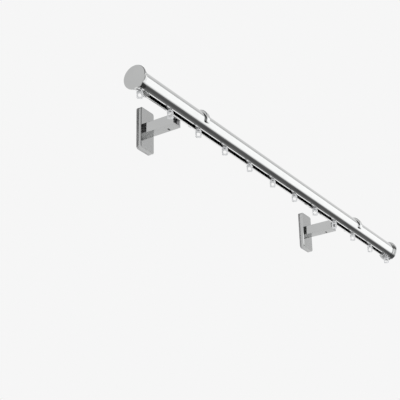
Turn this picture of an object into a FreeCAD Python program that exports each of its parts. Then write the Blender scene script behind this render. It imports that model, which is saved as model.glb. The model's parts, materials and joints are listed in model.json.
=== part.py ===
import FreeCAD, Part
import math
import os

from FreeCAD import Vector

# A round curtain pole with an inner track. It is carried off the wall by two hollow bracket arms,
# each with a sprung clip over the pole. Gliders run in a slot along the underside of the pole.
# Millimetres. The origin is the middle of the left bracket's wall face. +X runs along the pole,
# -Y points into the room and +Z points up.

# Whole track
TRACK_LENGTH = 796.0          # outer face of one end cap to the outer face of the other
BRACKET_INSET = 152.0         # cap face to the middle of the nearest bracket
POLE_STANDOFF = 97.5          # wall to the pole's axis

# Pole section
POLE_DIAMETER = 28.0
POLE_WALL = 1.6
SLOT_WIDTH = 4.7              # open slot along the underside
LIP_HEIGHT = 2.4              # lowest point of the pole up to the ledge that gliders run on
CHANNEL_WIDTH = 10.4
CHANNEL_HEIGHT = 6.0
CHANNEL_WALL = 1.4
LIP_ROUND = 0.5               # rounding of the slot's outer edges

# End caps
CAP_DIAMETER = 35.6
CAP_THICKNESS = 3.0
CAP_EDGE = 1.1                # rounding of the disc's rims
COLLAR_WALL = 1.4
COLLAR_LENGTH = 5.8
PLUG_LENGTH = 14.0            # spigot in the pole's upper chamber

# Gliders
GLIDER_COUNT = 12
END_GLIDER_INSET = 13.0       # cap face to the middle of the glider trapped beside it
HEAD_LENGTH = 6.6
HEAD_HEIGHT = 4.4
HEAD_CHAMFER = 1.4
NECK_LENGTH = 4.4
BEAD_DIAMETER = 6.8
BEAD_HEIGHT = 1.8
EYE_WIDTH = 8.8
EYE_HEIGHT = 11.8
EYE_CORNER = 2.2
EYE_DEPTH = 2.0
EYE_OVERLAP = 0.8             # how far the eye reaches up into the bead
EYE_FOOT = 2.2                # rim under the hole for the curtain hook
HOOK_HOLE_WIDTH = 4.8
HOOK_HOLE_HEIGHT = 6.0
HOOK_HOLE_CORNER = 1.6
EYE_TURN = 34.0               # degrees that the eye is turned from square across the pole

# End stops
STOP_INSET = 25.5             # cap face to the middle of the stop
STOP_LENGTH = 9.0
STOP_HEIGHT = 4.2
STOP_FOOT_WIDTH = 8.0
STOP_FOOT_HEIGHT = 2.6
STOP_SCREW_DIAMETER = 3.0
STOP_SCREW_RECESS = 0.7

# Wall plate and bracket casting
PLATE_WIDTH = 32.4
PLATE_HEIGHT = 68.0
PLATE_CORNER = 4.0
WALL_PLATE_THICKNESS = 3.3
WALL_PLATE_EDGE = 0.5
COVER_THICKNESS = 5.4
COVER_SKIN = 2.0
COVER_RIM = 2.4
COVER_CHAMFER = 0.9
SCREW_SPACING = 46.0          # between the two wall screws, one above the other
SCREW_HOLE_DIAMETER = 4.5
ARM_WIDTH = 18.3
ARM_HEIGHT = 16.3
ARM_WALL = 2.2
ARM_REACH = 61.0              # wall to the arm's open end
ARM_FLOOR = 5.0               # closed back end that the bolt clamps
ARM_EDGE = 0.7
RELEASE_SETBACK = 16.2        # arm's open end to the short slot under the arm
RELEASE_WIDTH = 2.6
BOLT_DIAMETER = 5.0
BOLT_HEAD_DIAMETER = 8.5
BOLT_HEAD_HEIGHT = 4.5
BOLT_SOCKET = 4.0             # across the corners of the hexagon
BOLT_SOCKET_DEPTH = 2.5

# Pole clip
CLIP_WIDTH = 7.4
CLIP_THICKNESS = 3.0
CLIP_FRONT_ANGLE = -27.0      # degrees up from level at the front of the pole
CLIP_REAR_ANGLE = 194.0
CLIP_TIP_ROUND = 3.0
CLIP_EDGE = 1.2               # rounding along the outer edges of the band and tail
TAIL_INSERT = 24.0            # length of the tail inside the arm
CLIP_SCREW_DIAMETER = 4.0
CLIP_SCREW_SETBACK = 9.0      # arm's open end to the screw
CLIP_SCREW_SINK = 0.3
GUIDE_SETBACK = 4.5           # arm's open end to the guide block under the tail
GUIDE_LENGTH = 22.0
RECESS_WIDTH = 0.8            # driver slot in the small screws
RECESS_DEPTH = 1.0

# Clearances
RUNNING_GAP = 0.3             # between a glider and the pole, all round
SEAT_GAP = 0.1                # between pieces that are pushed together
THREAD_GAP = 0.05             # round a screw in its thread

# Places that follow from the sizes above
POLE_RADIUS = POLE_DIAMETER / 2
ARM_TOP_Z = ARM_HEIGHT / 2
ARM_BOTTOM_Z = -ARM_HEIGHT / 2
ROOF_Z = ARM_TOP_Z - ARM_WALL
ARM_INSIDE_WIDTH = ARM_WIDTH - 2 * ARM_WALL
CLIP_X = ARM_INSIDE_WIDTH / 2 - SEAT_GAP - CLIP_WIDTH / 2
TAIL_BOTTOM_Z = ROOF_Z - CLIP_THICKNESS
POLE_Y = -POLE_STANDOFF
POLE_Z = TAIL_BOTTOM_Z - SEAT_GAP - POLE_RADIUS
CAP_FACE_X = -BRACKET_INSET
MIDDLE_X = CAP_FACE_X + TRACK_LENGTH / 2
BRACKET_SPACING = TRACK_LENGTH - 2 * BRACKET_INSET
LEDGE_Z = POLE_Z - POLE_RADIUS + LIP_HEIGHT
CHANNEL_TOP_Z = LEDGE_Z + CHANNEL_HEIGHT
WEB_TOP_Z = CHANNEL_TOP_Z + CHANNEL_WALL
POLE_BOTTOM_Z = POLE_Z - POLE_RADIUS
GLIDER_PITCH = (TRACK_LENGTH - 2 * END_GLIDER_INSET) / (GLIDER_COUNT - 1)
CAST_BACK_Y = -WALL_PLATE_THICKNESS
COVER_FACE_Y = CAST_BACK_Y - COVER_THICKNESS
FLOOR_FACE_Y = CAST_BACK_Y - ARM_FLOOR
ARM_END_Y = -ARM_REACH
CLIP_SCREW_Y = ARM_END_Y + CLIP_SCREW_SETBACK

ALONG_X = Vector(1, 0, 0)
ALONG_Y = Vector(0, 1, 0)
ALONG_Z = Vector(0, 0, 1)
OVERCUT = 1.0                 # how far a cutting shape runs past the face that it opens


def block(x0, x1, y0, y1, z0, z1):
    """A box between two corners."""
    return Part.makeBox(x1 - x0, y1 - y0, z1 - z0, Vector(x0, y0, z0))


def centred_block(width, height, y0, y1):
    """A box centred on the bracket's middle that runs from y0 to y1."""
    return block(-width / 2, width / 2, y0, y1, -height / 2, height / 2)


def pole_cylinder(radius, x0, x1):
    """A cylinder on the pole's axis."""
    return Part.makeCylinder(radius, x1 - x0, Vector(x0, POLE_Y, POLE_Z), ALONG_X)


def upright_cylinder(diameter, x, y, z0, z1):
    return Part.makeCylinder(diameter / 2, z1 - z0, Vector(x, y, z0), ALONG_Z)


def cylinder_into_wall(diameter, y0, y1, z):
    return Part.makeCylinder(diameter / 2, y1 - y0, Vector(0, y0, z), ALONG_Y)


def straight_edges(shape, direction):
    """The straight edges of a shape that run along a direction."""
    lines = [edge for edge in shape.Edges if isinstance(edge.Curve, Part.Line)]
    return [edge for edge in lines if abs(edge.Curve.Direction.dot(direction)) > 0.999]


def edges_at(shape, axis, value):
    """The edges of a shape that lie wholly in one plane across an axis."""
    low = axis + "Min"
    high = axis + "Max"
    tolerance = 1e-4
    found = []
    for edge in shape.Edges:
        ends = (getattr(edge.BoundBox, low), getattr(edge.BoundBox, high))
        if all(abs(end - value) < tolerance for end in ends):
            found.append(edge)
    return found


def make_pole():
    """The extruded pole: a tube with a glider channel hung inside it, open below at the slot."""
    x0 = CAP_FACE_X + CAP_THICKNESS
    x1 = x0 + TRACK_LENGTH - 2 * CAP_THICKNESS
    tube = pole_cylinder(POLE_RADIUS, x0, x1).cut(pole_cylinder(POLE_RADIUS - POLE_WALL, x0, x1))
    half_channel = CHANNEL_WIDTH / 2
    half_outside = half_channel + CHANNEL_WALL
    track = block(x0, x1, POLE_Y - half_outside, POLE_Y + half_outside, POLE_BOTTOM_Z, WEB_TOP_Z)
    section = tube.fuse(track.common(pole_cylinder(POLE_RADIUS, x0, x1)))
    channel = block(x0, x1, POLE_Y - half_channel, POLE_Y + half_channel, LEDGE_Z, CHANNEL_TOP_Z)
    half_slot = SLOT_WIDTH / 2
    slot = block(x0, x1, POLE_Y - half_slot, POLE_Y + half_slot, POLE_BOTTOM_Z - OVERCUT, LEDGE_Z + OVERCUT)
    section = section.cut(channel).cut(slot).removeSplitter()
    lips = []
    for edge in straight_edges(section, ALONG_X):
        middle = edge.BoundBox.Center
        if middle.z < LEDGE_Z - LIP_HEIGHT / 2 and abs(abs(middle.y - POLE_Y) - half_slot) < LIP_ROUND:
            lips.append(edge)
    return section.makeFillet(LIP_ROUND, lips)


def make_end_cap():
    """The left end cap: a flat disc, a collar over the pole and a spigot in its upper chamber."""
    disc_back = CAP_FACE_X + CAP_THICKNESS
    collar_end = disc_back + COLLAR_LENGTH
    disc = pole_cylinder(CAP_DIAMETER / 2, CAP_FACE_X, disc_back)
    disc = disc.makeFillet(CAP_EDGE, edges_at(disc, "X", CAP_FACE_X))
    bore_radius = POLE_RADIUS + SEAT_GAP
    collar = pole_cylinder(bore_radius + COLLAR_WALL, disc_back, collar_end)
    collar = collar.cut(pole_cylinder(bore_radius, disc_back, collar_end))
    plug_radius = POLE_RADIUS - POLE_WALL - SEAT_GAP
    plug = pole_cylinder(plug_radius, disc_back, disc_back + PLUG_LENGTH)
    below = block(
        disc_back, disc_back + PLUG_LENGTH,
        POLE_Y - POLE_RADIUS, POLE_Y + POLE_RADIUS,
        POLE_BOTTOM_Z, WEB_TOP_Z + SEAT_GAP,
    )
    return disc.fuse([collar, plug.cut(below)]).removeSplitter()


def make_glider(x):
    """One moulded glider: a head on the ledges, a neck through the slot, a bead and an eye."""
    half_head = CHANNEL_WIDTH / 2 - RUNNING_GAP
    head_z = LEDGE_Z + RUNNING_GAP
    head = block(
        -HEAD_LENGTH / 2, HEAD_LENGTH / 2,
        POLE_Y - half_head, POLE_Y + half_head,
        head_z, head_z + HEAD_HEIGHT,
    )
    head = head.makeChamfer(HEAD_CHAMFER, straight_edges(head, ALONG_Z))
    half_neck = SLOT_WIDTH / 2 - RUNNING_GAP
    bead_top_z = POLE_BOTTOM_Z - RUNNING_GAP
    bead_z = bead_top_z - BEAD_HEIGHT
    neck = block(
        -NECK_LENGTH / 2, NECK_LENGTH / 2,
        POLE_Y - half_neck, POLE_Y + half_neck,
        bead_z, head_z + HEAD_HEIGHT / 2,
    )
    bead = upright_cylinder(BEAD_DIAMETER, 0, POLE_Y, bead_z, bead_top_z)
    eye_top_z = bead_z + EYE_OVERLAP
    eye_z = eye_top_z - EYE_HEIGHT
    hole_z = eye_z + EYE_FOOT
    half_depth = EYE_DEPTH / 2
    outside = block(
        -half_depth, half_depth,
        POLE_Y - EYE_WIDTH / 2, POLE_Y + EYE_WIDTH / 2,
        eye_z, eye_top_z,
    )
    outside = outside.makeFillet(EYE_CORNER, straight_edges(outside, ALONG_X))
    inside = block(
        -half_depth, half_depth,
        POLE_Y - HOOK_HOLE_WIDTH / 2, POLE_Y + HOOK_HOLE_WIDTH / 2,
        hole_z, hole_z + HOOK_HOLE_HEIGHT,
    )
    inside = inside.makeFillet(HOOK_HOLE_CORNER, straight_edges(inside, ALONG_X))
    eye = outside.cut(inside)
    eye.rotate(Vector(0, POLE_Y, 0), ALONG_Z, EYE_TURN)
    glider = head.fuse([neck, bead, eye]).removeSplitter()
    glider.translate(Vector(x, 0, 0))
    return glider


def make_end_stop():
    """The left end stop: a block in the channel with a foot under the slot and a hole for its screw."""
    x = CAP_FACE_X + STOP_INSET
    x0 = x - STOP_LENGTH / 2
    x1 = x + STOP_LENGTH / 2
    half_block = CHANNEL_WIDTH / 2 - SEAT_GAP
    half_neck = SLOT_WIDTH / 2 - SEAT_GAP
    foot_top_z = POLE_BOTTOM_Z - SEAT_GAP
    foot_z = foot_top_z - STOP_FOOT_HEIGHT
    upper = block(x0, x1, POLE_Y - half_block, POLE_Y + half_block, LEDGE_Z, LEDGE_Z + STOP_HEIGHT)
    neck = block(x0, x1, POLE_Y - half_neck, POLE_Y + half_neck, foot_z, LEDGE_Z + STOP_HEIGHT)
    half_foot = STOP_FOOT_WIDTH / 2
    foot = block(x0, x1, POLE_Y - half_foot, POLE_Y + half_foot, foot_z, foot_top_z)
    hole_diameter = STOP_SCREW_DIAMETER + 2 * THREAD_GAP
    hole = upright_cylinder(hole_diameter, x, POLE_Y, foot_z - OVERCUT, LEDGE_Z + STOP_HEIGHT + OVERCUT)
    return upper.fuse([neck, foot]).cut(hole).removeSplitter()


def make_end_stop_screw():
    """The left stop's grub screw, which bears on the roof of the channel."""
    x = CAP_FACE_X + STOP_INSET
    low_z = POLE_BOTTOM_Z - SEAT_GAP - STOP_FOOT_HEIGHT + STOP_SCREW_RECESS
    screw = upright_cylinder(STOP_SCREW_DIAMETER, x, POLE_Y, low_z, CHANNEL_TOP_Z)
    return screw.cut(driver_slot(STOP_SCREW_DIAMETER, x, POLE_Y, low_z, low_z + RECESS_DEPTH))


def driver_slot(diameter, x, y, z0, z1):
    """The straight slot across the end of a small upright screw."""
    return block(x - diameter, x + diameter, y - RECESS_WIDTH / 2, y + RECESS_WIDTH / 2, z0, z1)


def make_wall_plate():
    """The plate screwed to the wall, with two screw holes and the bolt's thread between them."""
    plate = centred_block(PLATE_WIDTH, PLATE_HEIGHT, CAST_BACK_Y, 0)
    plate = plate.makeFillet(PLATE_CORNER, straight_edges(plate, ALONG_Y))
    plate = plate.makeChamfer(WALL_PLATE_EDGE, edges_at(plate, "Y", CAST_BACK_Y))
    for z in (-SCREW_SPACING / 2, SCREW_SPACING / 2):
        plate = plate.cut(cylinder_into_wall(SCREW_HOLE_DIAMETER, CAST_BACK_Y, 0, z))
    thread_diameter = BOLT_DIAMETER + 2 * THREAD_GAP
    return plate.cut(cylinder_into_wall(thread_diameter, CAST_BACK_Y, 0, 0))


def make_bracket_arm():
    """The casting: a cover with a hollow back, and a square arm that is open at its front end."""
    cover = centred_block(PLATE_WIDTH, PLATE_HEIGHT, COVER_FACE_Y, CAST_BACK_Y)
    cover = cover.makeFillet(PLATE_CORNER, straight_edges(cover, ALONG_Y))
    cover = cover.makeChamfer(COVER_CHAMFER, edges_at(cover, "Y", COVER_FACE_Y))
    hollow = centred_block(
        PLATE_WIDTH - 2 * COVER_RIM, PLATE_HEIGHT - 2 * COVER_RIM,
        COVER_FACE_Y + COVER_SKIN, CAST_BACK_Y,
    )
    hollow = hollow.makeFillet(PLATE_CORNER - COVER_RIM / 2, straight_edges(hollow, ALONG_Y))
    arm = centred_block(ARM_WIDTH, ARM_HEIGHT, ARM_END_Y, CAST_BACK_Y)
    arm = arm.makeFillet(ARM_EDGE, straight_edges(arm, ALONG_Y))
    inside = centred_block(ARM_INSIDE_WIDTH, ARM_HEIGHT - 2 * ARM_WALL, ARM_END_Y, FLOOR_FACE_Y)
    release_y = ARM_END_Y + RELEASE_SETBACK
    release_slot = block(
        0, ARM_INSIDE_WIDTH / 2,
        release_y - RELEASE_WIDTH / 2, release_y + RELEASE_WIDTH / 2,
        ARM_BOTTOM_Z - OVERCUT, ARM_BOTTOM_Z + ARM_WALL + OVERCUT,
    )
    bolt_hole = cylinder_into_wall(BOLT_DIAMETER + 2 * SEAT_GAP, FLOOR_FACE_Y, CAST_BACK_Y, 0)
    screw_hole = upright_cylinder(
        CLIP_SCREW_DIAMETER + 2 * THREAD_GAP, CLIP_X, CLIP_SCREW_Y, ROOF_Z - OVERCUT, ARM_TOP_Z + OVERCUT
    )
    casting = cover.cut(hollow).fuse(arm)
    return casting.cut([inside, release_slot, bolt_hole, screw_hole]).removeSplitter()


def make_arm_guide():
    """The moulded block in the arm's mouth that holds the clip's tail up to the roof and out to one side."""
    half_width = ARM_INSIDE_WIDTH / 2 - SEAT_GAP
    front_y = ARM_END_Y + GUIDE_SETBACK
    back_y = front_y + GUIDE_LENGTH
    floor_z = ARM_BOTTOM_Z + ARM_WALL
    tail_side = CLIP_X - CLIP_WIDTH / 2 - SEAT_GAP
    bed = block(-half_width, half_width, front_y, back_y, floor_z, TAIL_BOTTOM_Z)
    ridge = block(-half_width, tail_side, front_y, back_y, floor_z, ROOF_Z - SEAT_GAP)
    return bed.fuse(ridge).removeSplitter()


def make_arm_bolt():
    """The socket-head bolt in the back of the arm, which clamps the casting to the wall plate."""
    shank = cylinder_into_wall(BOLT_DIAMETER, FLOOR_FACE_Y, -SEAT_GAP, 0)
    head_face_y = FLOOR_FACE_Y - BOLT_HEAD_HEIGHT
    head = cylinder_into_wall(BOLT_HEAD_DIAMETER, head_face_y, FLOOR_FACE_Y, 0)
    corners = []
    for corner in range(7):
        angle = math.radians(60 * corner)
        x = BOLT_SOCKET / 2 * math.cos(angle)
        z = BOLT_SOCKET / 2 * math.sin(angle)
        corners.append(Vector(x, head_face_y, z))
    socket = Part.Face(Part.makePolygon(corners)).extrude(Vector(0, BOLT_SOCKET_DEPTH, 0))
    return shank.fuse(head).cut(socket).removeSplitter()


def clip_point(radius, angle):
    """A point on one side of the band, before the clip is moved across: 0 degrees is level at the front."""
    turn = math.radians(angle)
    return Vector(-CLIP_WIDTH / 2, POLE_Y - radius * math.cos(turn), POLE_Z + radius * math.sin(turn))


def make_pole_clip():
    """The sprung clip: a band round the pole, with a flat tail from its top that slides under the arm's roof.

    It is made in the middle of the arm and then moved across to the wall that its tail lies against.
    """
    inner = POLE_RADIUS + SEAT_GAP
    outer = inner + CLIP_THICKNESS
    halfway = (CLIP_FRONT_ANGLE + CLIP_REAR_ANGLE) / 2
    inside = Part.Arc(*[clip_point(inner, a) for a in (CLIP_FRONT_ANGLE, halfway, CLIP_REAR_ANGLE)])
    outside = Part.Arc(*[clip_point(outer, a) for a in (CLIP_REAR_ANGLE, halfway, CLIP_FRONT_ANGLE)])
    rear_end = Part.makeLine(clip_point(inner, CLIP_REAR_ANGLE), clip_point(outer, CLIP_REAR_ANGLE))
    front_end = Part.makeLine(clip_point(outer, CLIP_FRONT_ANGLE), clip_point(inner, CLIP_FRONT_ANGLE))
    outline = Part.Wire([inside.toShape(), rear_end, outside.toShape(), front_end])
    band = Part.Face(outline).extrude(Vector(CLIP_WIDTH, 0, 0))
    tip_middle = (clip_point(inner, CLIP_FRONT_ANGLE) + clip_point(outer, CLIP_FRONT_ANGLE)) / 2
    tip_edges = []
    for edge in band.Edges:
        centre = edge.CenterOfMass
        off_x = abs(abs(centre.x) - CLIP_WIDTH / 2)
        off_tip = math.hypot(centre.y - tip_middle.y, centre.z - tip_middle.z)
        if off_x < SEAT_GAP and off_tip < SEAT_GAP:
            tip_edges.append(edge)
    band = band.makeFillet(CLIP_TIP_ROUND, tip_edges)
    half_width = CLIP_WIDTH / 2
    tail = block(-half_width, half_width, POLE_Y, ARM_END_Y + TAIL_INSERT, TAIL_BOTTOM_Z, ROOF_Z)
    hole = upright_cylinder(
        CLIP_SCREW_DIAMETER + 2 * THREAD_GAP, 0, CLIP_SCREW_Y,
        TAIL_BOTTOM_Z - OVERCUT, ROOF_Z + OVERCUT,
    )
    clip = band.fuse(tail.cut(hole)).removeSplitter()
    outer_edges = []
    for edge in clip.Edges:
        centre = edge.CenterOfMass
        middle = edge.valueAt((edge.FirstParameter + edge.LastParameter) / 2)
        on_side = abs(abs(centre.x) - half_width) < SEAT_GAP
        off_axis = math.hypot(middle.y - POLE_Y, middle.z - POLE_Z)
        on_band = centre.y < POLE_Y and abs(off_axis - outer) < SEAT_GAP
        on_tail = centre.y > POLE_Y and abs(centre.z - ROOF_Z) < SEAT_GAP
        if on_side and (on_band or on_tail):
            outer_edges.append(edge)
    clip = clip.makeFillet(CLIP_EDGE, outer_edges)
    clip.translate(Vector(CLIP_X, 0, 0))
    return clip


def make_clip_screw():
    """The grub screw that locks the clip's tail to the arm's roof."""
    top_z = ARM_TOP_Z - CLIP_SCREW_SINK
    screw = upright_cylinder(CLIP_SCREW_DIAMETER, CLIP_X, CLIP_SCREW_Y, TAIL_BOTTOM_Z, top_z)
    return screw.cut(driver_slot(CLIP_SCREW_DIAMETER, CLIP_X, CLIP_SCREW_Y, top_z - RECESS_DEPTH, top_z))


def save(name, shape):
    shape.exportStep("parts/" + name + ".step")


def save_mirrored_pair(name, left):
    """A left piece, and its mirror image at the other end of the track."""
    save(name + "_left", left)
    save(name + "_right", left.mirror(Vector(MIDDLE_X, 0, 0), ALONG_X))


def save_bracket_pair(name, left):
    """A piece of the left bracket, and the same piece in the right bracket."""
    save(name + "_left", left)
    right = left.copy()
    right.translate(Vector(BRACKET_SPACING, 0, 0))
    save(name + "_right", right)


os.makedirs("parts", exist_ok=True)

save("track_pole", make_pole())
save_mirrored_pair("end_cap", make_end_cap())
save_mirrored_pair("end_stop", make_end_stop())
save_mirrored_pair("end_stop_screw", make_end_stop_screw())
for number in range(GLIDER_COUNT):
    glider_x = CAP_FACE_X + END_GLIDER_INSET + number * GLIDER_PITCH
    save("glider_%02d" % (number + 1), make_glider(glider_x))
save_bracket_pair("wall_plate", make_wall_plate())
save_bracket_pair("bracket_arm", make_bracket_arm())
save_bracket_pair("arm_guide", make_arm_guide())
save_bracket_pair("arm_bolt", make_arm_bolt())
save_bracket_pair("pole_clip", make_pole_clip())
save_bracket_pair("clip_screw", make_clip_screw())
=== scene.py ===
import json
import math

import bmesh
import bpy
from mathutils import Matrix, Vector

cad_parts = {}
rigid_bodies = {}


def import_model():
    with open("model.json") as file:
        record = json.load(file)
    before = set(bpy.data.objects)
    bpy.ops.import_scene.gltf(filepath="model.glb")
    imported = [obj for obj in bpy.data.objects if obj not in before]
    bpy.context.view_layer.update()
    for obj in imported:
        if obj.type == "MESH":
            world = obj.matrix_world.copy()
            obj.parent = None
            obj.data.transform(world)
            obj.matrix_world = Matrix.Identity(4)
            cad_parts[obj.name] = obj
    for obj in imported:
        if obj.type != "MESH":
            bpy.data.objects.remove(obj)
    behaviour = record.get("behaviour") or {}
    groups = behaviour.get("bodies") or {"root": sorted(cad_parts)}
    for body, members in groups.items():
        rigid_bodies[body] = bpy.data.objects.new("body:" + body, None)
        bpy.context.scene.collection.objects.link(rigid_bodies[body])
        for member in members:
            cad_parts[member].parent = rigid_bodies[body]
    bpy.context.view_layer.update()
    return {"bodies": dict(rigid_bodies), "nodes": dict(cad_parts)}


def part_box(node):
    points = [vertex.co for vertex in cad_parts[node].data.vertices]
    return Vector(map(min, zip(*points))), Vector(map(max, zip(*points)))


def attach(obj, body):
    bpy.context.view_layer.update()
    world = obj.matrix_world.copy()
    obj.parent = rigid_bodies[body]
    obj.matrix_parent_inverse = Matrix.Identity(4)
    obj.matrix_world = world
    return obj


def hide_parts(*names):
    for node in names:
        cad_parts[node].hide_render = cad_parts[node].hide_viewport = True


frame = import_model()

bl_info = {
    "name": "Curtain track",
    "version": (1, 0, 0),
    "blender": (4, 5, 0),
    "location": "3D View > Sidebar > Curtain track",
    "description": "Dresses a chrome curtain pole with an inner track, its wall brackets and its gliders",
    "category": "Add Mesh",
}

MM = 0.001
SIDES = ("left", "right")
GLIDERS = sorted(name for name in frame["bodies"] if name.startswith("glider_"))

# The pole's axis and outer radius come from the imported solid.
POLE_LOW, POLE_HIGH = (Vector(corner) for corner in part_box("track_pole"))
POLE_AXIS = (POLE_LOW + POLE_HIGH) / 2
POLE_RADIUS = (POLE_HIGH.y - POLE_LOW.y) / 2

# Materials
MASK_LOW = 0.3                    # where the noise masks begin and stop to count
MASK_HIGH = 0.7
LINE_DEPTH = 0.02 * MM            # depth of polishing lines
GRAIN_DEPTH = 0.03 * MM           # depth of moulded grain
CAP_HAZE = 0.05                   # how much rougher the caps are than the cleanest plating
MOULDED_HAZE = 0.12               # how much rougher moulded surfaces are where they are dullest
PLASTIC_IOR = 1.49
PLATED = 0                        # places of the materials on the pole and the castings
UNPLATED_OR_PAINTED_SHADE = 1
SHADED = 2

# Meshes
WELD_DISTANCE = 0.001 * MM
FLAT_ANGLE = math.radians(0.2)
SHARP_ANGLE = math.radians(28)
EDGE_SEGMENTS = 3
LIP_TURN = 0.9                    # cosine below which the slot's lips have turned in and get the near-black channel colour, painted shade that widens the dark slot
SKIN_DEPTH = 0.45 * MM            # how far in past the pole's outer surface the plating reaches; deeper faces get the near-black channel colour, painted shade
INSIDE_MARGIN = 2.0 * MM          # how far the arm's inner faces and openings lie outside the guide's box
MOUTH_MARGIN = 0.2 * MM           # how far inside the mouth's rim the arm's inner faces begin
SLOT_MARGIN = 0.2 * MM            # how far below the guide the walls of the arm's slot lie

# Gliders
CORNER_STEPS = 6
RING_STEPS = 40

# Stage
FLOOR_Z = -2.3
FLOOR_SIZE = 14.0
FLOOR_COLOUR = (0.93, 0.93, 0.93)
FLOOR_ROUGHNESS = 0.9
FAR_X = 1.6                       # right end of the long panels
KEY_PLACE = Vector((-0.6, -1.6, 1.5))
KEY_LENGTH = 1.6
KEY_HEIGHT = 1.0
CAMERA_PLACE = Vector((-1.1677, -0.8618, -0.7522))
CAMERA_YAW = math.radians(33.176)
CAMERA_PITCH = math.radians(23.839)
CAMERA_ROLL = math.radians(-1.195)
CAMERA_LENS = 99.11
SENSOR_WIDTH = 36.0
CLIP_START = 0.01
CLIP_END = 100.0


# Properties

class TrackFinish(bpy.types.PropertyGroup):
    """Colours and polish of the track's materials."""
    chrome: bpy.props.FloatVectorProperty(
        name="Chrome", description="Colour of the plated pole and clips",
        subtype="COLOR", size=3, min=0, max=1, default=(0.55, 0.556, 0.554))
    cap: bpy.props.FloatVectorProperty(
        name="End caps", description="Colour of the plated end caps",
        subtype="COLOR", size=3, min=0, max=1, default=(0.50, 0.505, 0.503))
    casting: bpy.props.FloatVectorProperty(
        name="Castings", description="Colour of the plated castings",
        subtype="COLOR", size=3, min=0, max=1, default=(0.51, 0.515, 0.513))
    plate: bpy.props.FloatVectorProperty(
        name="Wall plate", description="Colour of the steel plates behind the castings",
        subtype="COLOR", size=3, min=0, max=1, default=(0.44, 0.44, 0.445))
    # The channel colour is near-black: painted shade inside the pole, on the slot's turned-in lips and on
    # the walls of the arms' release slots.
    channel: bpy.props.FloatVectorProperty(
        name="Channel", description="Colour of the unplated inside of the pole",
        subtype="COLOR", size=3, min=0, max=1, default=(0.02, 0.02, 0.021))
    screw: bpy.props.FloatVectorProperty(
        name="Screws", description="Colour of the zinc-plated screws and bolts",
        subtype="COLOR", size=3, min=0, max=1, default=(0.55, 0.55, 0.56))
    guide: bpy.props.FloatVectorProperty(
        name="Guide", description="Colour of the moulded guide blocks in the arms",
        subtype="COLOR", size=3, min=0, max=1, default=(0.02, 0.02, 0.022))
    glider: bpy.props.FloatVectorProperty(
        name="Gliders", description="Colour of the milky-clear gliders",
        subtype="COLOR", size=3, min=0, max=1, default=(0.8, 0.81, 0.82))
    stop: bpy.props.FloatVectorProperty(
        name="End stops", description="Colour of the clear end stops",
        subtype="COLOR", size=3, min=0, max=1, default=(0.88, 0.89, 0.89))
    raw: bpy.props.FloatVectorProperty(
        name="Raw casting", description="Colour of the unpolished inside of the arms",
        subtype="COLOR", size=3, min=0, max=1, default=(0.88, 0.88, 0.89))
    satin: bpy.props.FloatProperty(
        name="Satin", description="Roughness of the plating on the castings",
        subtype="FACTOR", min=0, max=1, default=0.12)
    polish: bpy.props.FloatProperty(
        name="Polish", description="Roughness of the plating where it is cleanest",
        subtype="FACTOR", min=0, max=1, default=0.04)
    edge: bpy.props.FloatProperty(
        name="Edge rounding", description="Width of the soft edge on corners that are otherwise sharp",
        subtype="DISTANCE", unit="LENGTH", min=0, default=0.15 * MM)


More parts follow.
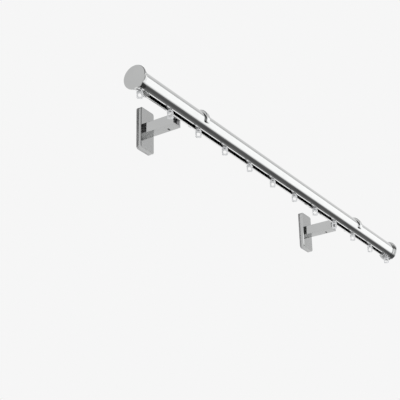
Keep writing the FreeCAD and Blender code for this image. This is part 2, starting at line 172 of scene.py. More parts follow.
class GliderSizes(bpy.types.PropertyGroup):
    """Sizes of one moulded glider."""
    eye_width: bpy.props.FloatProperty(
        name="Eye width", description="Width of the eye across its rim",
        subtype="DISTANCE", unit="LENGTH", default=8.8 * MM)
    eye_height: bpy.props.FloatProperty(
        name="Eye height", description="Height of the eye, with the part inside the bead",
        subtype="DISTANCE", unit="LENGTH", default=11.8 * MM)
    eye_corner: bpy.props.FloatProperty(
        name="Eye corner", description="Rounding of the eye's corners",
        subtype="DISTANCE", unit="LENGTH", default=2.2 * MM)
    eye_overlap: bpy.props.FloatProperty(
        name="Eye overlap", description="How far the eye reaches up into the bead",
        subtype="DISTANCE", unit="LENGTH", default=0.8 * MM)
    eye_foot: bpy.props.FloatProperty(
        name="Eye foot", description="Rim under the hole for the curtain hook",
        subtype="DISTANCE", unit="LENGTH", default=2.2 * MM)
    hole_width: bpy.props.FloatProperty(
        name="Hole width", description="Width of the hole for the curtain hook",
        subtype="DISTANCE", unit="LENGTH", default=4.8 * MM)
    hole_height: bpy.props.FloatProperty(
        name="Hole height", description="Height of the hole for the curtain hook",
        subtype="DISTANCE", unit="LENGTH", default=6.0 * MM)
    hole_corner: bpy.props.FloatProperty(
        name="Hole corner", description="Rounding of the hole's corners",
        subtype="DISTANCE", unit="LENGTH", default=1.6 * MM)
    eye_depth: bpy.props.FloatProperty(
        name="Eye depth", description="Thickness of the eye",
        subtype="DISTANCE", unit="LENGTH", default=2.0 * MM)
    eye_turn: bpy.props.FloatProperty(
        name="Eye turn", description="Turn of the eye from square across the pole",
        subtype="ANGLE", unit="ROTATION", default=math.radians(34))
    bead_diameter: bpy.props.FloatProperty(
        name="Bead diameter", description="Diameter of the bead under the slot",
        subtype="DISTANCE", unit="LENGTH", default=6.8 * MM)
    bead_height: bpy.props.FloatProperty(
        name="Bead height", description="Height of the bead under the slot",
        subtype="DISTANCE", unit="LENGTH", default=1.8 * MM)
    neck_length: bpy.props.FloatProperty(
        name="Neck length", description="Length of the neck along the slot",
        subtype="DISTANCE", unit="LENGTH", default=4.4 * MM)
    neck_width: bpy.props.FloatProperty(
        name="Neck width", description="Width of the neck across the slot",
        subtype="DISTANCE", unit="LENGTH", default=4.1 * MM)
    head_length: bpy.props.FloatProperty(
        name="Head length", description="Length of the head along the channel",
        subtype="DISTANCE", unit="LENGTH", default=6.6 * MM)
    head_width: bpy.props.FloatProperty(
        name="Head width", description="Width of the head across the channel",
        subtype="DISTANCE", unit="LENGTH", default=9.8 * MM)
    head_height: bpy.props.FloatProperty(
        name="Head height", description="Height of the head on the ledges",
        subtype="DISTANCE", unit="LENGTH", default=4.4 * MM)
    head_chamfer: bpy.props.FloatProperty(
        name="Head chamfer", description="Chamfer on the head's upright corners",
        subtype="DISTANCE", unit="LENGTH", default=1.4 * MM)
    softness: bpy.props.FloatProperty(
        name="Moulded edge", description="Rounding of the moulded edges",
        subtype="DISTANCE", unit="LENGTH", default=0.35 * MM)


class StudioLight(bpy.types.PropertyGroup):
    """Levels of the studio light."""
    surround: bpy.props.FloatProperty(
        name="Surround", description="Brightness of the pale surround",
        min=0, max=1, default=0.922)
    key: bpy.props.FloatProperty(
        name="Key light", description="Power of the soft lamp above the room side",
        subtype="POWER", unit="POWER", min=0, default=6.0)
    panel: bpy.props.FloatProperty(
        name="Light panel", description="Brightness of the long panel that the pole mirrors",
        min=0, default=1.68)
    shade: bpy.props.FloatProperty(
        name="Dark panel", description="Brightness of the dark panel under the pole",
        min=0, default=0.13)


# Shader building

def new_socket(tree, name, way, kind, default=None):
    """Adds a named socket to a node group."""
    socket = tree.interface.new_socket(name=name, in_out=way, socket_type=kind)
    if default is not None:
        socket.default_value = default
    return socket


def add_node(tree, kind, **settings):
    """Adds a node with its settings and input values; names of inputs are given as in the node."""
    node = tree.nodes.new(kind)
    inputs = settings.pop("inputs", {})
    for name, value in settings.items():
        setattr(node, name, value)
    for name, value in inputs.items():
        node.inputs[name].default_value = value
    return node


def polish_marks_group():
    """Faint cloudiness and fine polishing lines, drawn out along the stretch of the surface."""
    name = "polish_marks"
    if name in bpy.data.node_groups:
        return bpy.data.node_groups[name]
    tree = bpy.data.node_groups.new(name, "ShaderNodeTree")
    new_socket(tree, "Vector", "INPUT", "NodeSocketVector")
    new_socket(tree, "Stretch", "INPUT", "NodeSocketVector")
    new_socket(tree, "Cloud Scale", "INPUT", "NodeSocketFloat", 40.0)
    new_socket(tree, "Cloud", "OUTPUT", "NodeSocketFloat")
    new_socket(tree, "Lines", "OUTPUT", "NodeSocketFloat")
    source = add_node(tree, "NodeGroupInput")
    result = add_node(tree, "NodeGroupOutput")
    cloud = add_node(tree, "ShaderNodeTexNoise", inputs={"Detail": 4.0, "Roughness": 0.6})
    drawn = add_node(tree, "ShaderNodeVectorMath", operation="MULTIPLY")
    lines = add_node(tree, "ShaderNodeTexNoise", inputs={"Scale": 1.0, "Detail": 2.0, "Roughness": 0.5})
    tree.links.new(source.outputs["Vector"], cloud.inputs["Vector"])
    tree.links.new(source.outputs["Cloud Scale"], cloud.inputs["Scale"])
    tree.links.new(source.outputs["Vector"], drawn.inputs[0])
    tree.links.new(source.outputs["Stretch"], drawn.inputs[1])
    tree.links.new(drawn.outputs["Vector"], lines.inputs["Vector"])
    tree.links.new(cloud.outputs["Fac"], result.inputs["Cloud"])
    tree.links.new(lines.outputs["Fac"], result.inputs["Lines"])
    return tree


def moulded_grain_group():
    """The slight unevenness of moulded plastic or cast metal: a fine grain and slow flow marks."""
    name = "moulded_grain"
    if name in bpy.data.node_groups:
        return bpy.data.node_groups[name]
    tree = bpy.data.node_groups.new(name, "ShaderNodeTree")
    new_socket(tree, "Vector", "INPUT", "NodeSocketVector")
    new_socket(tree, "Grain Scale", "INPUT", "NodeSocketFloat", 2500.0)
    new_socket(tree, "Flow Scale", "INPUT", "NodeSocketFloat", 180.0)
    new_socket(tree, "Grain", "OUTPUT", "NodeSocketFloat")
    new_socket(tree, "Flow", "OUTPUT", "NodeSocketFloat")
    source = add_node(tree, "NodeGroupInput")
    result = add_node(tree, "NodeGroupOutput")
    grain = add_node(tree, "ShaderNodeTexNoise", inputs={"Detail": 3.0, "Roughness": 0.6})
    flow = add_node(tree, "ShaderNodeTexNoise",
                    inputs={"Detail": 2.0, "Roughness": 0.5, "Distortion": 0.6})
    for texture, scale, out in ((grain, "Grain Scale", "Grain"), (flow, "Flow Scale", "Flow")):
        tree.links.new(source.outputs["Vector"], texture.inputs["Vector"])
        tree.links.new(source.outputs[scale], texture.inputs["Scale"])
        tree.links.new(texture.outputs["Fac"], result.inputs[out])
    return tree


def start_material(name):
    """A new node material with its Principled shader and Object coordinates."""
    material = bpy.data.materials.new(name)
    material.use_nodes = True
    tree = material.node_tree
    shader = next(node for node in tree.nodes if node.type == "BSDF_PRINCIPLED")
    place = add_node(tree, "ShaderNodeTexCoord")
    return material, tree, shader, place


def shade_pair(colour, spread):
    """Two colours a little darker and a little lighter than the given one, with full alpha."""
    dark = tuple(channel * (1 - spread) for channel in colour) + (1.0,)
    light = tuple(min(1.0, channel * (1 + spread)) for channel in colour) + (1.0,)
    return dark, light


def blend_colour(tree, mask, colour, spread):
    """A colour that changes with a mask; returns the socket that carries it."""
    dark, light = shade_pair(colour, spread)
    ramp = add_node(tree, "ShaderNodeValToRGB")
    for element, position, shade in zip(ramp.color_ramp.elements, (MASK_LOW, MASK_HIGH), (dark, light)):
        element.position = position
        element.color = shade
    tree.links.new(mask, ramp.inputs["Fac"])
    return ramp.outputs["Color"]


def spread_value(tree, mask, low, high):
    """A value between low and high that changes with a mask; returns its socket."""
    span = add_node(tree, "ShaderNodeMapRange",
                    inputs={"From Min": MASK_LOW, "From Max": MASK_HIGH, "To Min": low, "To Max": high})
    tree.links.new(mask, span.inputs["Value"])
    return span.outputs["Result"]


def raise_surface(tree, shader, height, strength, distance):
    """Feeds a height into the shader's normal."""
    bump = add_node(tree, "ShaderNodeBump", inputs={"Strength": strength, "Distance": distance})
    tree.links.new(height, bump.inputs["Height"])
    tree.links.new(bump.outputs["Normal"], shader.inputs["Normal"])


def metal_material(name, colour, roughness, stretch, line_strength,
                   cloud_scale=40.0, haze=0.05, spread=0.02):
    """Plated or bare metal with faint cloudiness and fine lines."""
    material, tree, shader, place = start_material(name)
    marks = add_node(tree, "ShaderNodeGroup", node_tree=polish_marks_group(),
                     inputs={"Stretch": stretch, "Cloud Scale": cloud_scale})
    tree.links.new(place.outputs["Object"], marks.inputs["Vector"])
    tree.links.new(blend_colour(tree, marks.outputs["Cloud"], colour, spread),
                   shader.inputs["Base Color"])
    tree.links.new(spread_value(tree, marks.outputs["Cloud"], roughness, roughness + haze),
                   shader.inputs["Roughness"])
    raise_surface(tree, shader, marks.outputs["Lines"], line_strength, LINE_DEPTH)
    shader.inputs["Metallic"].default_value = 1.0
    return material


def moulded_material(name, colour, roughness, grain_strength, transmission=0.0, spread=0.03):
    """Moulded plastic or raw cast skin, clear where transmission is above zero."""
    material, tree, shader, place = start_material(name)
    grain = add_node(tree, "ShaderNodeGroup", node_tree=moulded_grain_group())
    tree.links.new(place.outputs["Object"], grain.inputs["Vector"])
    tree.links.new(blend_colour(tree, grain.outputs["Flow"], colour, spread), shader.inputs["Base Color"])
    tree.links.new(spread_value(tree, grain.outputs["Flow"], roughness, roughness + MOULDED_HAZE),
                   shader.inputs["Roughness"])
    raise_surface(tree, shader, grain.outputs["Grain"], grain_strength, GRAIN_DEPTH)
    shader.inputs["Transmission Weight"].default_value = transmission
    shader.inputs["IOR"].default_value = PLASTIC_IOR
    return material


# Mesh building

def finish_piece(piece, body, replaced):
    """Attaches a finished piece to the body it rides on and hides the imported solids it stands for."""
    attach(piece, body)
    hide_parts(*replaced)


def add_piece(name, mesh):
    """Puts a mesh in the scene as an object at the origin."""
    piece = bpy.data.objects.new(name, mesh)
    bpy.context.scene.collection.objects.link(piece)
    return piece


def smoothed_copy(node, name):
    """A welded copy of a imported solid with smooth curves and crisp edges."""
    shape = bmesh.new()
    shape.from_mesh(frame["nodes"][node].data)
    bmesh.ops.remove_doubles(shape, verts=shape.verts, dist=WELD_DISTANCE)
    bmesh.ops.dissolve_limit(shape, angle_limit=FLAT_ANGLE, verts=shape.verts, edges=shape.edges)
    for face in shape.faces:
        face.smooth = True
    for edge in shape.edges:
        edge.smooth = edge.is_manifold and edge.calc_face_angle() < SHARP_ANGLE
    mesh = bpy.data.meshes.new(name)
    shape.to_mesh(mesh)
    shape.free()
    return add_piece(name, mesh)


def soften_edges(piece, width):
    """Rounds the sharp edges that a plated or moulded piece wouldn't keep."""
    bevel = piece.modifiers.new("soft_edges", "BEVEL")
    bevel.width = width
    bevel.segments = EDGE_SEGMENTS
    bevel.limit_method = "ANGLE"
    bevel.angle_limit = SHARP_ANGLE
    bevel.harden_normals = True


def dress_solids(stems, label, material, edge):
    """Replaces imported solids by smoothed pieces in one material; returns the pieces."""
    pieces = []
    for stem in stems:
        for side in SIDES:
            node = stem + "_" + side
            piece = smoothed_copy(node, label.format(stem=stem, side=side))
            piece.data.materials.append(material)
            if edge > 0:
                soften_edges(piece, edge)
            finish_piece(piece, "track", [node])
            pieces.append(piece)
    return pieces


# Glider tree

GLIDER_INPUTS = (
    ("Place", "NodeSocketVector"),
    ("Eye Width", "NodeSocketFloat"),
    ("Eye Height", "NodeSocketFloat"),
    ("Eye Corner", "NodeSocketFloat"),
    ("Eye Overlap", "NodeSocketFloat"),
    ("Eye Foot", "NodeSocketFloat"),
    ("Hole Width", "NodeSocketFloat"),
    ("Hole Height", "NodeSocketFloat"),
    ("Hole Corner", "NodeSocketFloat"),
    ("Eye Depth", "NodeSocketFloat"),
    ("Eye Turn", "NodeSocketFloat"),
    ("Bead Diameter", "NodeSocketFloat"),
    ("Bead Height", "NodeSocketFloat"),
    ("Neck Length", "NodeSocketFloat"),
    ("Neck Width", "NodeSocketFloat"),
    ("Head Length", "NodeSocketFloat"),
    ("Head Width", "NodeSocketFloat"),
    ("Head Height", "NodeSocketFloat"),
    ("Head Chamfer", "NodeSocketFloat"),
    ("Head Base", "NodeSocketFloat"),
    ("Material", "NodeSocketMaterial"),
)


def calculate(tree, operation, first, second):
    """A sum, difference, product or quotient of two sockets or numbers; returns its socket."""
    node = add_node(tree, "ShaderNodeMath", operation=operation)
    for index, term in enumerate((first, second)):
        if isinstance(term, (int, float)):
            node.inputs[index].default_value = term
        else:
            tree.links.new(term, node.inputs[index])
    return node.outputs["Value"]


def combine(tree, x=None, y=None, z=None):
    """A vector from three sockets, with 0 where none is given."""
    node = add_node(tree, "ShaderNodeCombineXYZ")
    for name, socket in (("X", x), ("Y", y), ("Z", z)):
        if socket is not None:
            tree.links.new(socket, node.inputs[name])
    return node.outputs["Vector"]


def rounded_rectangle(tree, width, height, corner, steps):
    """A closed curve: a rectangle in the XY plane with rounded or chamfered corners."""
    outline = add_node(tree, "GeometryNodeCurvePrimitiveQuadrilateral", mode="RECTANGLE")
    tree.links.new(width, outline.inputs["Width"])
    tree.links.new(height, outline.inputs["Height"])
    fillet = add_node(tree, "GeometryNodeFilletCurve", mode="POLY")
    fillet.inputs["Count"].default_value = steps
    fillet.inputs["Limit Radius"].default_value = True
    tree.links.new(outline.outputs["Curve"], fillet.inputs["Curve"])
    tree.links.new(corner, fillet.inputs["Radius"])
    return fillet.outputs["Curve"]


def raised_outline(tree, outlines, height):
    """A closed block: the area between closed curves in the XY plane, raised along Z."""
    together = add_node(tree, "GeometryNodeJoinGeometry")
    for outline in outlines:
        tree.links.new(outline, together.inputs["Geometry"])
    fill = add_node(tree, "GeometryNodeFillCurve", mode="TRIANGLES")
    raised = add_node(tree, "GeometryNodeExtrudeMesh", mode="FACES")
    raised.inputs["Individual"].default_value = False
    under = add_node(tree, "GeometryNodeFlipFaces")
    closed = add_node(tree, "GeometryNodeJoinGeometry")
    merged = add_node(tree, "GeometryNodeMergeByDistance", inputs={"Distance": WELD_DISTANCE})
    tree.links.new(together.outputs["Geometry"], fill.inputs["Curve"])
    tree.links.new(fill.outputs["Mesh"], raised.inputs["Mesh"])
    tree.links.new(height, raised.inputs["Offset Scale"])
    tree.links.new(fill.outputs["Mesh"], under.inputs["Mesh"])
    tree.links.new(raised.outputs["Mesh"], closed.inputs["Geometry"])
    tree.links.new(under.outputs["Mesh"], closed.inputs["Geometry"])
    tree.links.new(closed.outputs["Geometry"], merged.inputs["Geometry"])
    return merged.outputs["Geometry"]


def move(tree, geometry, translation=None, rotation=None):
    """Geometry turned and then moved."""
    node = add_node(tree, "GeometryNodeTransform")
    tree.links.new(geometry, node.inputs["Geometry"])
    if translation is not None:
        tree.links.new(translation, node.inputs["Translation"])
    if rotation is not None:
        tree.links.new(rotation, node.inputs["Rotation"])
    return node.outputs["Geometry"]


def glider_tree():
    """One moulded glider: eye, bead, neck and head round the slot's middle at the pole's lowest line."""
    tree = bpy.data.node_groups.new("glider_moulding", "GeometryNodeTree")
    for name, kind in GLIDER_INPUTS:
        new_socket(tree, name, "INPUT", kind)
    new_socket(tree, "Geometry", "OUTPUT", "NodeSocketGeometry")
    given = add_node(tree, "NodeGroupInput").outputs

    # Bead: a round plate under the slot, with its top face at height 0.
    disc = add_node(tree, "GeometryNodeCurvePrimitiveCircle", inputs={"Resolution": RING_STEPS})
    tree.links.new(calculate(tree, "MULTIPLY", given["Bead Diameter"], 0.5), disc.inputs["Radius"])
    under_bead = calculate(tree, "MULTIPLY", given["Bead Height"], -1.0)
    flat_bead = raised_outline(tree, [disc.outputs["Curve"]], given["Bead Height"])
    bead = move(tree, flat_bead, combine(tree, z=under_bead))

    # Eye: a rounded plate with a hole, on edge under the bead and turned from square across the pole.
    plate = rounded_rectangle(
        tree, given["Eye Width"], given["Eye Height"], given["Eye Corner"], CORNER_STEPS)
    hole = rounded_rectangle(
        tree, given["Hole Width"], given["Hole Height"], given["Hole Corner"], CORNER_STEPS)
    height_left = calculate(tree, "SUBTRACT", given["Hole Height"], given["Eye Height"])
    hole_middle = calculate(tree, "ADD", calculate(tree, "MULTIPLY", height_left, 0.5), given["Eye Foot"])
    low_hole = move(tree, hole, combine(tree, y=hole_middle))
    half_depth = calculate(tree, "MULTIPLY", given["Eye Depth"], -0.5)
    raised_eye = raised_outline(tree, [plate, low_hole], given["Eye Depth"])
    flat_eye = move(tree, raised_eye, combine(tree, z=half_depth))
    stand = add_node(tree, "ShaderNodeCombineXYZ", inputs={"X": math.pi / 2})
    tree.links.new(calculate(tree, "ADD", given["Eye Turn"], math.pi / 2), stand.inputs["Z"])
    half_eye = calculate(tree, "MULTIPLY", given["Eye Height"], 0.5)
    eye_top = calculate(tree, "ADD", under_bead, given["Eye Overlap"])
    eye_middle = calculate(tree, "SUBTRACT", eye_top, half_eye)
    eye = move(tree, flat_eye, combine(tree, z=eye_middle), stand.outputs["Vector"])

    # Neck: a block through the slot, from the bead's underside into the head.
    half_head = calculate(tree, "MULTIPLY", given["Head Height"], 0.5)
    neck_top = calculate(tree, "ADD", given["Head Base"], half_head)
    neck_height = calculate(tree, "SUBTRACT", neck_top, under_bead)
    neck_middle = calculate(tree, "ADD", calculate(tree, "MULTIPLY", neck_height, 0.5), under_bead)
    neck_block = add_node(tree, "GeometryNodeMeshCube")
    neck_size = combine(tree, given["Neck Length"], given["Neck Width"], neck_height)
    tree.links.new(neck_size, neck_block.inputs["Size"])
    neck = move(tree, neck_block.outputs["Mesh"], combine(tree, z=neck_middle))

    # Head: a chamfered block on the ledges.
    outline = rounded_rectangle(
        tree, given["Head Length"], given["Head Width"], given["Head Chamfer"], steps=1)
    raised_head = raised_outline(tree, [outline], given["Head Height"])
    head = move(tree, raised_head, combine(tree, z=given["Head Base"]))

    whole = add_node(tree, "GeometryNodeJoinGeometry")
    for part in (bead, eye, neck, head):
        tree.links.new(part, whole.inputs["Geometry"])
    placed = move(tree, whole.outputs["Geometry"], given["Place"])
    real = add_node(tree, "GeometryNodeRealizeInstances")
    coloured = add_node(tree, "GeometryNodeSetMaterial")
    result = add_node(tree, "NodeGroupOutput")
    tree.links.new(placed, real.inputs["Geometry"])
    tree.links.new(real.outputs["Geometry"], coloured.inputs["Geometry"])
    tree.links.new(given["Material"], coloured.inputs["Material"])
    tree.links.new(coloured.outputs["Geometry"], result.inputs["Geometry"])
    return tree


def grown_mesh(name, tree, values):
    """The plain mesh that a geometry tree gives for these input values."""
    seed = bpy.data.objects.new(name + "_seed", bpy.data.meshes.new(name + "_seed"))
    bpy.context.scene.collection.objects.link(seed)
    modifier = seed.modifiers.new("moulding", "NODES")
    modifier.node_group = tree
    for item in tree.interface.items_tree:
        if item.in_out == "INPUT":
            modifier[item.identifier] = values[item.name]
    evaluated = seed.evaluated_get(bpy.context.evaluated_depsgraph_get())
    mesh = bpy.data.meshes.new_from_object(evaluated)
    mesh.name = name
    mesh.shade_smooth()
    mesh.set_sharp_from_angle(angle=SHARP_ANGLE)
    bpy.data.objects.remove(seed)
    return mesh


# Operators

class TRACK_OT_pole(bpy.types.Operator):
    """The chrome pole, with its unplated channel and slot inside, coloured near-black as painted shade"""
    bl_idname = "track.pole"
    bl_label = "Pole"

    def execute(self, context):
        finish = context.scene.track_finish
        pole = smoothed_copy("track_pole", "pole")
        pole.data.materials.append(metal_material(
            "pole_plating", finish.chrome, finish.polish, stretch=(3.0, 1400.0, 1400.0),
            line_strength=0.02))
        pole.data.materials.append(metal_material(
            "channel_painted_shade", finish.channel, roughness=0.45, stretch=(4.0, 900.0, 900.0),
            line_strength=0.2))
        # Faces inside the pole and the slot's turned-in lips get the near-black channel colour: painted
        # shade that darkens and widens the slot.
        for face in pole.data.polygons:
            outward = Vector((0.0, face.center.y - POLE_AXIS.y, face.center.z - POLE_AXIS.z))
            plated = outward.length > POLE_RADIUS - SKIN_DEPTH
            turned_in = face.normal.dot(outward.normalized()) < LIP_TURN
            face.material_index = PLATED if plated and not turned_in else UNPLATED_OR_PAINTED_SHADE
        finish_piece(pole, "track", ["track_pole"])
        return {"FINISHED"}


class TRACK_OT_end_caps(bpy.types.Operator):
    """The disc caps on the ends of the pole"""
    bl_idname = "track.end_caps"
    bl_label = "End caps"

    def execute(self, context):
        finish = context.scene.track_finish
        plating = metal_material(
            "cap_plating", finish.cap, finish.polish + CAP_HAZE, stretch=(700.0, 700.0, 700.0),
            line_strength=0.02)
        dress_solids(["end_cap"], "cap_{side}", plating, finish.edge)
        return {"FINISHED"}


class TRACK_OT_brackets(bpy.types.Operator):
    """The wall plates and the castings with their hollow arms"""
    bl_idname = "track.brackets"
    bl_label = "Wall brackets"

    def execute(self, context):
        finish = context.scene.track_finish
        steel = metal_material(
            "plate_finish", finish.plate, roughness=0.28, stretch=(500.0, 500.0, 40.0),
            line_strength=0.25, haze=0.12, spread=0.1)
        plating = metal_material(
            "casting_plating", finish.casting, finish.satin, stretch=(600.0, 600.0, 600.0),
            line_strength=0.02)
        raw = moulded_material(
            "casting_raw", finish.raw, roughness=0.6, grain_strength=0.3, spread=0.06)
        shade = moulded_material(
            "slot_shade", finish.channel, roughness=0.6, grain_strength=0.3, spread=0.1)
        dress_solids(["wall_plate"], "plate_{side}", steel, finish.edge)
        castings = dress_solids(["bracket_arm"], "casting_{side}", plating, finish.edge)
        for side, casting in zip(SIDES, castings):
            casting.data.materials.append(raw)
            casting.data.materials.append(shade)
            low, high = (Vector(corner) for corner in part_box("arm_guide_" + side))
            margin = Vector((INSIDE_MARGIN, INSIDE_MARGIN, INSIDE_MARGIN))
            reach_low = low - margin
            reach_high = high + margin
            reach_low.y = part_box("bracket_arm_" + side)[0][1] + MOUTH_MARGIN
            # Faces inside the arm take the raw casting; the walls of the release slot below the guide
            # take the near-black slot shade, painted shade in the slot.
            for face in casting.data.polygons:
                middle = face.center
                if all(reach_low[axis] < middle[axis] < reach_high[axis] for axis in range(3)):
                    face.material_index = SHADED if middle.z < low.z - SLOT_MARGIN else UNPLATED_OR_PAINTED_SHADE
        return {"FINISHED"}


class TRACK_OT_clips(bpy.types.Operator):
    """The sprung bands that hold the pole to the arms"""
    bl_idname = "track.clips"
    bl_label = "Pole clips"

    def execute(self, context):
        finish = context.scene.track_finish
        plating = metal_material(
            "clip_plating", finish.chrome, finish.polish, stretch=(1200.0, 60.0, 60.0),
            line_strength=0.02)
        dress_solids(["pole_clip"], "clip_{side}", plating, edge=2 * finish.edge)
        return {"FINISHED"}


class TRACK_OT_guides(bpy.types.Operator):
    """The moulded guide blocks in the mouths of the arms"""
    bl_idname = "track.guides"
    bl_label = "Arm guides"

    def execute(self, context):
        finish = context.scene.track_finish
        plastic = moulded_material(
            "guide_moulding", finish.guide, roughness=0.45, grain_strength=0.35, spread=0.2)
        dress_solids(["arm_guide"], "guide_{side}", plastic, finish.edge)
        return {"FINISHED"}


class TRACK_OT_screws(bpy.types.Operator):
    """The arm bolts and the grub screws of the clips and end stops"""
    bl_idname = "track.screws"
    bl_label = "Screws"

    def execute(self, context):
        finish = context.scene.track_finish
        steel = metal_material(
            "screw_finish", finish.screw, roughness=0.22, stretch=(900.0, 900.0, 900.0),
            line_strength=0.15, cloud_scale=300.0, haze=0.15, spread=0.08)
        screws = ["arm_bolt", "clip_screw", "end_stop_screw"]
        dress_solids(screws, "{stem}_{side}_turned", steel, edge=0)
        return {"FINISHED"}


class TRACK_OT_end_stops(bpy.types.Operator):
    """The clear stops that trap the end gliders"""
    bl_idname = "track.end_stops"
    bl_label = "End stops"

    def execute(self, context):
        finish = context.scene.track_finish
        plastic = moulded_material(
            "stop_moulding", finish.stop, roughness=0.08, grain_strength=0.05, transmission=0.9)
        dress_solids(["end_stop"], "stop_{side}", plastic, finish.edge)
        return {"FINISHED"}


class TRACK_OT_gliders(bpy.types.Operator):
    """The milky-clear gliders that run in the pole"""
    bl_idname = "track.gliders"
    bl_label = "Gliders"

    def execute(self, context):
        sizes = context.scene.glider_sizes
        finish = context.scene.track_finish
        plastic = moulded_material(
            "glider_moulding", finish.glider, roughness=0.3, grain_strength=0.1, transmission=0.15)
        tree = glider_tree()
        values = {
            "Eye Width": sizes.eye_width,
            "Eye Height": sizes.eye_height,
            "Eye Corner": sizes.eye_corner,
            "Eye Overlap": sizes.eye_overlap,
            "Eye Foot": sizes.eye_foot,
            "Hole Width": sizes.hole_width,
            "Hole Height": sizes.hole_height,
            "Hole Corner": sizes.hole_corner,
            "Eye Depth": sizes.eye_depth,
            "Eye Turn": sizes.eye_turn,
            "Bead Diameter": sizes.bead_diameter,
            "Bead Height": sizes.bead_height,
            "Neck Length": sizes.neck_length,
            "Neck Width": sizes.neck_width,
            "Head Length": sizes.head_length,
            "Head Width": sizes.head_width,
            "Head Height": sizes.head_height,
            "Head Chamfer": sizes.head_chamfer,
            "Material": plastic,
        }
        for body in GLIDERS:
            low, high = (Vector(corner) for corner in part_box(body))
            bead_top = low.z + sizes.eye_height - sizes.eye_overlap + sizes.bead_height
            values["Place"] = Vector(((low.x + high.x) / 2, (low.y + high.y) / 2, bead_top))
            values["Head Base"] = high.z - sizes.head_height - bead_top
            piece = add_piece(body + "_moulding", grown_mesh(body + "_moulding", tree, values))
            soften_edges(piece, sizes.softness)
            finish_piece(piece, body, [body])
        return {"FINISHED"}


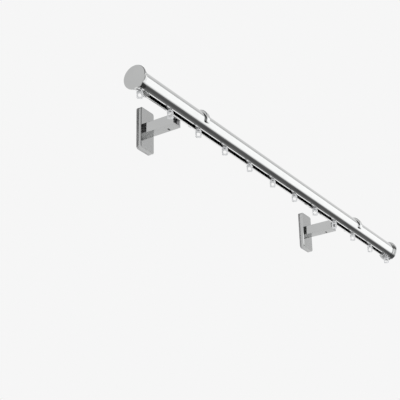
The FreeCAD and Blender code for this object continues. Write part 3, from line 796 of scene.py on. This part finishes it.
class TRACK_OT_stage(bpy.types.Operator):
    """The pale floor, the soft studio light, the panels that the chrome mirrors and the camera"""
    bl_idname = "track.stage"
    bl_label = "Stage"

    def execute(self, context):
        light = context.scene.studio_light
        context.scene.view_settings.view_transform = "Standard"
        self.add_surround(context, light.surround)
        self.add_floor()
        self.add_key_light(light.key)
        self.add_panels(light.panel, light.shade)
        self.add_camera(context)
        return {"FINISHED"}

    def add_surround(self, context, level):
        """An even pale world."""
        world = bpy.data.worlds.new("pale_surround")
        world.use_nodes = True
        sky = next(node for node in world.node_tree.nodes if node.type == "BACKGROUND")
        sky.inputs["Color"].default_value = (level, level, level, 1.0)
        sky.inputs["Strength"].default_value = 1.0
        context.scene.world = world

    def add_sheet(self, name, corners):
        """A flat four-cornered piece of the stage."""
        mesh = bpy.data.meshes.new(name)
        mesh.from_pydata(corners, [], [(0, 1, 2, 3)])
        sheet = add_piece(name, mesh)
        return sheet

    def add_floor(self):
        """A wide matt floor far below the track."""
        half = FLOOR_SIZE / 2
        middle = POLE_AXIS.x
        floor = self.add_sheet("floor", [
            (middle - half, -half, FLOOR_Z), (middle + half, -half, FLOOR_Z),
            (middle + half, half, FLOOR_Z), (middle - half, half, FLOOR_Z)])
        material, tree, shader, place = start_material("floor_paint")
        uneven = add_node(tree, "ShaderNodeTexNoise", inputs={"Scale": 3.0, "Detail": 3.0})
        tree.links.new(place.outputs["Object"], uneven.inputs["Vector"])
        tree.links.new(blend_colour(tree, uneven.outputs["Fac"], FLOOR_COLOUR, spread=0.01),
                       shader.inputs["Base Color"])
        shader.inputs["Roughness"].default_value = FLOOR_ROUGHNESS
        floor.data.materials.append(material)

    def add_key_light(self, power):
        """One soft lamp on the room side, aimed at the pole's middle and not mirrored in the chrome."""
        lamp = bpy.data.lights.new("key_light", "AREA")
        lamp.energy = power
        lamp.shape = "RECTANGLE"
        lamp.size = KEY_LENGTH
        lamp.size_y = KEY_HEIGHT
        key = bpy.data.objects.new("key_light", lamp)
        aim = POLE_AXIS - KEY_PLACE
        turn = aim.to_track_quat("-Z", "Y").to_matrix().to_4x4()
        key.matrix_world = Matrix.Translation(KEY_PLACE) @ turn
        key.visible_glossy = False
        bpy.context.scene.collection.objects.link(key)

    def add_panel(self, name, corners, level):
        """A panel that only mirrors in the chrome: it lights and hides nothing itself."""
        panel = self.add_sheet(name, corners)
        material = bpy.data.materials.new(name)
        material.use_nodes = True
        tree = material.node_tree
        tree.nodes.clear()
        glow = add_node(tree, "ShaderNodeEmission",
                        inputs={"Color": (1.0, 1.0, 1.0, 1.0), "Strength": level})
        out = add_node(tree, "ShaderNodeOutputMaterial")
        tree.links.new(glow.outputs["Emission"], out.inputs["Surface"])
        panel.data.materials.append(material)
        panel.visible_camera = False
        panel.visible_diffuse = False
        panel.visible_transmission = False
        panel.visible_shadow = False
        return tree, glow

    def level_panel(self, name, low_x, high_x, low_y, high_y, z, level):
        """A panel that lies flat at one height."""
        return self.add_panel(name, [
            (low_x, low_y, z), (high_x, low_y, z), (high_x, high_y, z), (low_x, high_y, z)], level)

    def upright_panel(self, name, low_x, high_x, y, low_z, high_z, level):
        """A panel that stands along the pole at one distance from the wall."""
        return self.add_panel(name, [
            (low_x, y, low_z), (high_x, y, low_z), (high_x, y, high_z), (low_x, y, high_z)], level)

    def span_along(self, tree, place, axis, low, high, first, last):
        """A value that goes from first to last between two places along an axis; returns its socket."""
        axes = add_node(tree, "ShaderNodeSeparateXYZ")
        span = add_node(tree, "ShaderNodeMapRange", inputs={
            "From Min": low, "From Max": high, "To Min": first, "To Max": last})
        tree.links.new(place.outputs["Object"], axes.inputs["Vector"])
        tree.links.new(axes.outputs[axis], span.inputs["Value"])
        return span.outputs["Result"]

    def fade_below(self, tree, glow, low_z, high_z, dim, bright):
        """Lets an upright panel fade towards its lower edge."""
        place = add_node(tree, "ShaderNodeTexCoord")
        level = self.span_along(tree, place, "Z", low_z, high_z, dim, bright)
        tree.links.new(level, glow.inputs["Strength"])

    def lighten_edges(self, tree, glow, low_y, high_y, dark, light):
        """Lets a level panel grow lighter from its middle to both long edges, with soft clouds."""
        place = add_node(tree, "ShaderNodeTexCoord")
        offset = self.span_along(tree, place, "Y", low_y, high_y, first=-1.0, last=1.0)
        clouds = add_node(tree, "ShaderNodeTexNoise", inputs={"Scale": 28.0, "Detail": 2.0})
        depth = add_node(tree, "ShaderNodeMapRange", inputs={
            "From Min": MASK_LOW, "From Max": MASK_HIGH, "To Min": 0.8, "To Max": 1.2})
        tree.links.new(place.outputs["Object"], clouds.inputs["Vector"])
        tree.links.new(clouds.outputs["Fac"], depth.inputs["Value"])
        rise = calculate(tree, "MULTIPLY", calculate(tree, "MULTIPLY", offset, offset), light - dark)
        level = calculate(tree, "MULTIPLY", calculate(tree, "ADD", rise, dark), depth.outputs["Result"])
        tree.links.new(level, glow.inputs["Strength"])

    def add_panels(self, bright, dim):
        """All the panels, by where they stand round the track."""
        self.add_side_panels(bright)
        self.add_under_panels(bright, dim)
        self.add_plate_shades(dim)
        self.add_high_panel(dim)

    def add_side_panels(self, bright):
        """Light panels on the room side and behind the wall, and grey ones at the cap and far out."""
        low_z, full_z = -0.11, -0.06
        room_y, cap_x = -0.2, -0.066
        tree, glow = self.upright_panel(
            "light_panel", low_x=cap_x, high_x=FAR_X, y=room_y, low_z=low_z, high_z=0.076, level=bright)
        self.fade_below(tree, glow, low_z, full_z, dim=0.35 * bright, bright=bright)
        self.upright_panel(
            "rim_shade", low_x=-0.15, high_x=cap_x, y=room_y, low_z=low_z, high_z=0.12, level=0.55)
        self.upright_panel(
            "wall_strip", low_x=0.25, high_x=3.0, y=0.35, low_z=-0.23, high_z=0.054, level=0.76 * bright)
        self.upright_panel(
            "front_shade", low_x=0.4, high_x=2.0, y=-0.64, low_z=0.2, high_z=1.0, level=0.76)

    def add_under_panels(self, bright, dim):
        """A dark panel under the pole, darker where the cap's collar mirrors it, and strips beside it."""
        under_z = -0.06
        front_y, middle_y = -0.1531, -0.0935
        collar_front = (-0.085, front_y, under_z)
        collar_rear = (-0.107, middle_y, under_z)
        rim_front = (-0.108, front_y, under_z)
        rim_rear = (-0.122, middle_y, under_z)
        tree, glow = self.add_panel("under_panel", [
            collar_front, (FAR_X, front_y, under_z), (FAR_X, middle_y, under_z), collar_rear], dim)
        self.lighten_edges(tree, glow, front_y, middle_y, dark=0.95 * dim, light=2.6 * dim)
        self.add_panel("collar_shade", [rim_front, collar_front, collar_rear, rim_rear], level=0.35 * dim)
        self.level_panel(
            "under_strip", low_x=-0.2, high_x=FAR_X, low_y=middle_y, high_y=-0.079, z=under_z,
            level=bright)
        self.upright_panel(
            "rear_shade", low_x=-0.114, high_x=FAR_X, y=-0.07, low_z=-0.05, high_z=-0.03, level=0.0)

    def add_plate_shades(self, dim):
        """A narrow dark panel beside the left edge of each wall plate."""
        near, width = 5.0 * MM, 7.5 * MM
        for side in SIDES:
            high_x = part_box("wall_plate_" + side)[0][0] - near
            self.upright_panel(
                "edge_shade_" + side, low_x=high_x - width, high_x=high_x, y=0.005,
                low_z=-0.035, high_z=0.06, level=0.4 * dim)

    def add_high_panel(self, dim):
        """A dark panel high up on the left that faces the left bracket."""
        half_width, drop, lift = 0.45, 0.6, 0.8
        middle = Vector((-0.42, -0.40, 0.75))
        across = Vector((0.70, -0.72, 0.0)).normalized() * half_width
        rise = middle.cross(across).normalized()
        low_edge = middle - drop * rise
        high_edge = middle + lift * rise
        self.add_panel("dark_panel", [
            low_edge - across, low_edge + across, high_edge + across, high_edge - across],
            level=0.3 * dim)

    def add_camera(self, context):
        """The camera, below the track on the room side and looking up along it."""
        forward = Vector((
            math.cos(CAMERA_YAW) * math.cos(CAMERA_PITCH),
            math.sin(CAMERA_YAW) * math.cos(CAMERA_PITCH),
            math.sin(CAMERA_PITCH)))
        level_right = Vector((math.sin(CAMERA_YAW), -math.cos(CAMERA_YAW), 0.0))
        level_up = level_right.cross(forward)
        right = math.cos(CAMERA_ROLL) * level_right + math.sin(CAMERA_ROLL) * level_up
        up = -math.sin(CAMERA_ROLL) * level_right + math.cos(CAMERA_ROLL) * level_up
        data = bpy.data.cameras.new("camera")
        data.lens = CAMERA_LENS
        data.sensor_width = SENSOR_WIDTH
        data.clip_start = CLIP_START
        data.clip_end = CLIP_END
        camera = bpy.data.objects.new("camera", data)
        turn = Matrix((right, up, -forward)).transposed()
        camera.matrix_world = Matrix.Translation(CAMERA_PLACE) @ turn.to_4x4()
        context.scene.collection.objects.link(camera)
        context.scene.camera = camera


class TRACK_PT_sidebar(bpy.types.Panel):
    """Lists the pieces of the track and the values that can be changed"""
    bl_idname = "TRACK_PT_sidebar"
    bl_label = "Curtain track"
    bl_space_type = "VIEW_3D"
    bl_region_type = "UI"
    bl_category = "Curtain track"

    def draw(self, context):
        for operator in OPERATORS:
            self.layout.operator(operator.bl_idname)
        for group in (context.scene.track_finish, context.scene.glider_sizes, context.scene.studio_light):
            column = self.layout.column()
            for name in group.bl_rna.properties.keys():
                if name not in ("name", "rna_type"):
                    column.prop(group, name)


OPERATORS = (
    TRACK_OT_pole,
    TRACK_OT_end_caps,
    TRACK_OT_brackets,
    TRACK_OT_clips,
    TRACK_OT_guides,
    TRACK_OT_screws,
    TRACK_OT_end_stops,
    TRACK_OT_gliders,
    TRACK_OT_stage,
)
CLASSES = (TrackFinish, GliderSizes, StudioLight) + OPERATORS + (TRACK_PT_sidebar,)


def register():
    for cls in CLASSES:
        bpy.utils.register_class(cls)
    bpy.types.Scene.track_finish = bpy.props.PointerProperty(type=TrackFinish)
    bpy.types.Scene.glider_sizes = bpy.props.PointerProperty(type=GliderSizes)
    bpy.types.Scene.studio_light = bpy.props.PointerProperty(type=StudioLight)


def unregister():
    del bpy.types.Scene.studio_light
    del bpy.types.Scene.glider_sizes
    del bpy.types.Scene.track_finish
    for cls in reversed(CLASSES):
        bpy.utils.unregister_class(cls)


def main():
    register()
    bpy.ops.track.pole()
    bpy.ops.track.end_caps()
    bpy.ops.track.brackets()
    bpy.ops.track.clips()
    bpy.ops.track.guides()
    bpy.ops.track.screws()
    bpy.ops.track.end_stops()
    bpy.ops.track.gliders()
    bpy.ops.track.stage()


if __name__ == "__main__":
    main()
